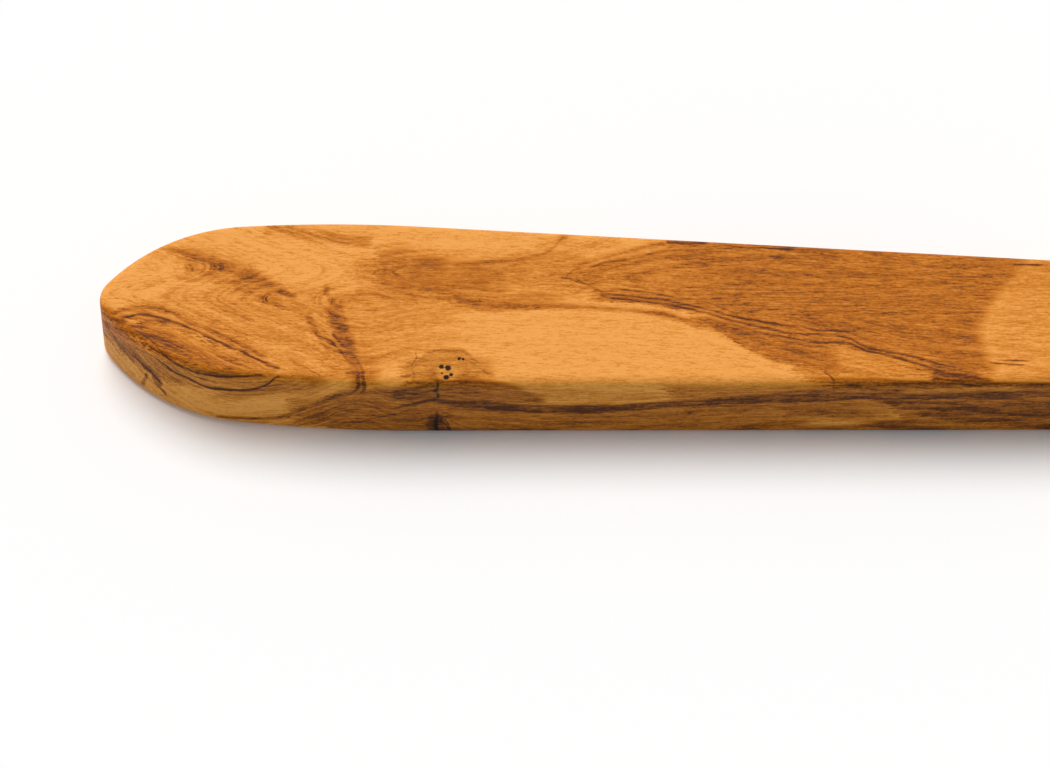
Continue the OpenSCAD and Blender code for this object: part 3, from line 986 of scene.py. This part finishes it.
# A tooth of the double cut is the diamond left between two up-cuts and two over-cuts, and it is
# steep towards the point. Five up-cuts are as long as four over-cuts, so that blocks of five rows
# meet in step.
UP_CUT, UP_SLANT = 0.8 * MM, radians(65)
OVER_CUT, OVER_SLANT = 1.0 * MM, radians(45)
TEETH_IN_ROW, ROWS_IN_BLOCK, BLOCKS = 36, 5, 51
between = sin(UP_SLANT + OVER_SLANT)
up_step = Vector((cos(UP_SLANT), sin(UP_SLANT), 0)) * OVER_CUT * sin(OVER_SLANT) / between
over_step = Vector((cos(OVER_SLANT), -sin(OVER_SLANT), 0)) * UP_CUT * sin(UP_SLANT) / between
tooth_start = Vector((toothed_x - 12 * MM, -blade_half_w - 0.5 * MM, blade_high.z - TOOTH_DEEP))
teeth = start_at("face_teeth", tooth_start)
draw_out(over_step)
pick_all()
draw_out(up_step)
pick_all()
bpy.ops.mesh.poke()
tooth_middle = tooth_start + (up_step + over_step) / 2
pick(teeth, "VERT", lambda spot: (spot - tooth_middle).length < 0.02 * MM)
bpy.ops.transform.translate(value=(up_step + over_step) * 0.22 + Vector((0, 0, TOOTH_DEEP - SKIN)))
done()
repeat(teeth, TEETH_IN_ROW, up_step)
repeat(teeth, ROWS_IN_BLOCK, over_step)
repeat(teeth, BLOCKS, (ROWS_IN_BLOCK * UP_CUT, 0, 0))
edit()
weld(0.01 * MM)
face_half = blade_half_w - EDGE_INSET
both_ends = ((toothed_x + END_INSET, 0, 0), (-1, 0, 0)), ((point_x - END_INSET, 0, 0), (1, 0, 0))
trim(((0, face_half, 0), (0, 1, 0)), ((0, -face_half, 0), (0, -1, 0)), *both_ends)
close_under((1, 1, 0), (0, 0, blade_high.z - 2 * TOOTH_DEEP))
teeth_below = other_side(teeth)

# The single cut on a narrow edge is one slanting ridge, repeated
EDGE_CUT, EDGE_SLANT = 0.9 * MM, radians(75)
edge_run = 2 * (blade_half_t - EDGE_INSET)
ridge_start = Vector((toothed_x - 2 * MM, blade_half_w - TOOTH_DEEP, blade_low.z + EDGE_INSET))
ridges = start_at("edge_teeth", ridge_start)
draw_out((0.72 * EDGE_CUT, 0, 0))
draw_out((0.28 * EDGE_CUT, 0, 0))
pick_all()
draw_out((edge_run / tan(EDGE_SLANT), 0, edge_run))
pick(ridges, "VERT", lambda spot: 0.5 < (
    spot.x - ridge_start.x - (spot.z - ridge_start.z) / tan(EDGE_SLANT)) / EDGE_CUT < 0.9)
bpy.ops.transform.translate(value=(0, TOOTH_DEEP - SKIN, 0))
done()
repeat(ridges, int((point_x - toothed_x) / EDGE_CUT) + 4, (EDGE_CUT, 0, 0))
edit()
weld(0.01 * MM)
trim(*both_ends)
close_under((1, 0, 1), (0, blade_half_w - 2 * TOOTH_DEEP, 0))
ridges_beyond = other_side(ridges)

# Everything becomes one piece, which is then drawn in to the point by a lattice
start_piece()
for part in (teeth, teeth_below, ridges, ridges_beyond, blade):
    part.select_set(True)
bpy.context.view_layer.objects.active = blade
bpy.ops.object.join()
bpy.ops.object.select_all(action="DESELECT")
bpy.ops.object.add(type="LATTICE", location=((bow_x + point_x) / 2, 0, tang_z))
drawing_in = bpy.context.object
drawing_in.scale = (POINT_RUN, 2 * blade_half_w, 2 * blade_half_t)
drawing_in.data.points_u, drawing_in.data.points_v, drawing_in.data.points_w = BOW_STEPS + 1, 2, 2
for axis in "uvw":
    setattr(drawing_in.data, "interpolation_type_" + axis, "KEY_LINEAR")
for knot in drawing_in.data.points:
    gone = (knot.co.x + 0.5) ** 2
    knot.co_deform = (
        knot.co.x,
        knot.co.y * (1 - gone * (1 - POINT_HALF_W / blade_half_w)),
        knot.co.z * (1 - gone * (1 - POINT_HALF_T / blade_half_t)),
    )
bpy.context.view_layer.update()
start_piece()
reshape(blade, "LATTICE", object=drawing_in)
bpy.data.objects.remove(drawing_in)
bpy.ops.object.shade_smooth_by_angle(angle=radians(25))

steel, place = new_finish("file_steel", blade, {"Metallic": 1.0})
heel_run = HEEL_RUN / MM
from_heel = place.part("X") - (heel_x - butt_x) / MM
# How deep a spot lies under the faces and the edges, which draw in over the last stretch
drawn_in = (from_heel - (bow_x - heel_x) / MM) / (POINT_RUN / MM)
drawn_in = drawn_in.maths("MAXIMUM", drawn_in, 0.0)
gone = drawn_in * drawn_in
faces_fall, edges_fall = (blade_half_t - POINT_HALF_T) / MM, (blade_half_w - POINT_HALF_W) / MM
face_deep = blade_half_t / MM - gone * faces_fall - abs(place.part("Z") - tang_z / MM)
edge_deep = blade_half_w / MM - gone * edges_fall - abs(place.part("Y"))
valley = face_deep.maths("MINIMUM", face_deep, edge_deep).step(0.06, 0.3)
valley = valley * from_heel.step(heel_run, heel_run + 0.4)
cloud = place.noise((0.08, 0.2, 0.2), detail=3)
grit = place.noise((1.6, 1.6, 1.6), detail=3)
worn = (cloud - 0.5) * 0.8 + from_heel.step(30, 90) * from_heel.step(195, 120) * 0.3
crest = (worn + 0.45).mix(paint(160, 161, 165), paint(206, 207, 209))
cut_steel = (valley * 0.8).mix(crest, paint(92, 92, 96))
rust = (grit * 0.6 + cloud * 0.4).step(0.6, 0.72) * 0.35
cut_steel = rust.mix(cut_steel, paint(112, 74, 50))
forged = (grit * 0.5 + cloud * 0.5).step(0.35, 0.65).mix(paint(104, 98, 92), paint(72, 68, 66))
heel_steel = (grit + from_heel * 0.06).step(0.2, 1.0).mix(forged, paint(150, 150, 152))
straw = (from_heel + (cloud - 0.5) * 8).step(-9, 4)
tempered = straw.mix(paint(88, 84, 92), paint(150, 118, 78))
heel_steel = from_heel.step(7, -2).mix(heel_steel, tempered)
wire(steel, "Base Color", from_heel.step(heel_run - 0.1, heel_run + 0.1).mix(heel_steel, cut_steel))
wire(steel, "Roughness", valley * 0.25 + grit * 0.2 + from_heel.step(heel_run, heel_run / 2) * 0.12 + 0.26)
scratch = place.noise((0.4, 8, 8))
bump(steel, 0.35, 0.06 * MM, grit + scratch * 0.5)
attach(blade, "root")
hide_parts("file_blade")


# ---- Floor and light ----
# White paper under a broad, soft light from above, a little behind the file and a little to the
# left. So the near side is in half shade, and the file's own soft shadow falls towards the viewer.
FLOOR_WIDE = 60
FLOOR_GAP = 0.02 * MM
PAPER_LIFT = 0.05
start_piece()
bpy.ops.mesh.primitive_plane_add(size=FLOOR_WIDE, location=(0, 0, cad_low.z - FLOOR_GAP))
floor = new_piece("floor")
paper, place = new_finish("white_paper", floor, {
    "Base Color": (0.97, 0.97, 0.97, 1), "Roughness": 1.0, "Specular IOR Level": 0.0,
    "Emission Strength": PAPER_LIFT})


def straight_rays(tree):
    """1 for what the camera sees, straight or in a shine or through glass, and 0 for plain light."""
    ray = tree.nodes.new("ShaderNodeLightPath").outputs
    return Grain(ray["Is Camera Ray"]) + Grain(ray["Is Glossy Ray"]) + Grain(ray["Is Transmission Ray"])


wire(paper, "Emission Color", straight_rays(paper.id_data).mix((0, 0, 0, 1), (1, 1, 1, 1)))

SKY_LIGHT = 0.32
world = bpy.data.worlds.new("studio")
world.use_nodes = True
bpy.context.scene.world = world
sky = world.node_tree.nodes["Background"]
sky.inputs["Color"].default_value = (1, 1, 1, 1)
wire(sky, "Strength", straight_rays(world.node_tree) * (1 - SKY_LIGHT) + SKY_LIGHT)

SOFTBOX_HEIGHT = radians(69)
SOFTBOX_LEFT = 0.25
SOFTBOX_SPREAD = radians(41)
softbox_data = bpy.data.lights.new("softbox", "SUN")
softbox_data.angle = SOFTBOX_SPREAD
softbox_data.energy = pi * (1 - SKY_LIGHT) / sin(SOFTBOX_HEIGHT)
softbox = bpy.data.objects.new("softbox", softbox_data)
bpy.context.scene.collection.objects.link(softbox)
to_softbox = Vector((-SOFTBOX_LEFT, cos(SOFTBOX_HEIGHT), sin(SOFTBOX_HEIGHT)))
softbox.rotation_euler = to_softbox.to_track_quat("Z", "Y").to_euler()


# ---- How far the model shows from the photograph's points ----
def crossings(piece, axis, at, test=lambda spot: True):
    """The least and the greatest pixel at which a piece's edges cross a column, axis 0, or a row,
    axis 1, of the photograph.
    """
    corners = [(shown_at(vertex.co), test(vertex.co)) for vertex in piece.data.vertices]
    found = []
    for edge in piece.data.edges:
        (a, a_counts), (b, b_counts) = (corners[k] for k in edge.vertices)
        if a_counts and b_counts and a[axis] != b[axis] and (a[axis] - at) * (b[axis] - at) <= 0:
            share = (at - a[axis]) / (b[axis] - a[axis])
            found.append(a[1 - axis] + (b[1 - axis] - a[1 - axis]) * share)
    return min(found), max(found)


def on_wood(along_mm, across_mm):
    """Where a spot on the map of the wood shows. The way (0, 1, -1) keeps to one place across."""
    start = Vector((butt_x + along_mm * MM, across_mm * MM - 0.05, slab_top + 0.05))
    return shown_at(surface.ray_cast(start, Vector((0, 1, -1)).normalized())[0])


# How far each thing shows from its point of the photograph, in pixels
edges = {}
for name, axis, which in (("butt", 1, 0), ("far_edge_at_widest", 0, 0), ("far_edge_at_frame", 0, 0),
                          ("near_edge_low", 0, 1), ("near_edge_at_frame", 0, 1)):
    edges[name] = (axis, crossings(handle, axis, SEEN[name][axis])[which])
# The flat of the top ends where its near arris begins to turn down
flat_top = crossings(handle, 0, SEEN["arris_at_middle"][0], lambda spot: spot.z > slab_top - 0.01 * MM)
edges["arris_at_middle"] = (0, flat_top[1])
shown = {
    "knot": on_wood(knot_x, knot_y),
    "knot_pinhole": on_wood(small_x, small_y),
    "eye_near_butt": on_wood(*eye_tip),
    "eye_tail": on_wood(*eye_tail),
    "second_fork": on_wood(*fork_tip),
    "bundle_point": on_wood(spear_x, spear_y),
    "side_check": on_wood(*check_top),
}
for name, (axis, found) in edges.items():
    shown[name] = (SEEN[name][0], found) if axis == 0 else (found, SEEN[name][1])
points = {name: [round(shown[name][k] - SEEN[name][k], 1) for k in (0, 1)] for name in SEEN}
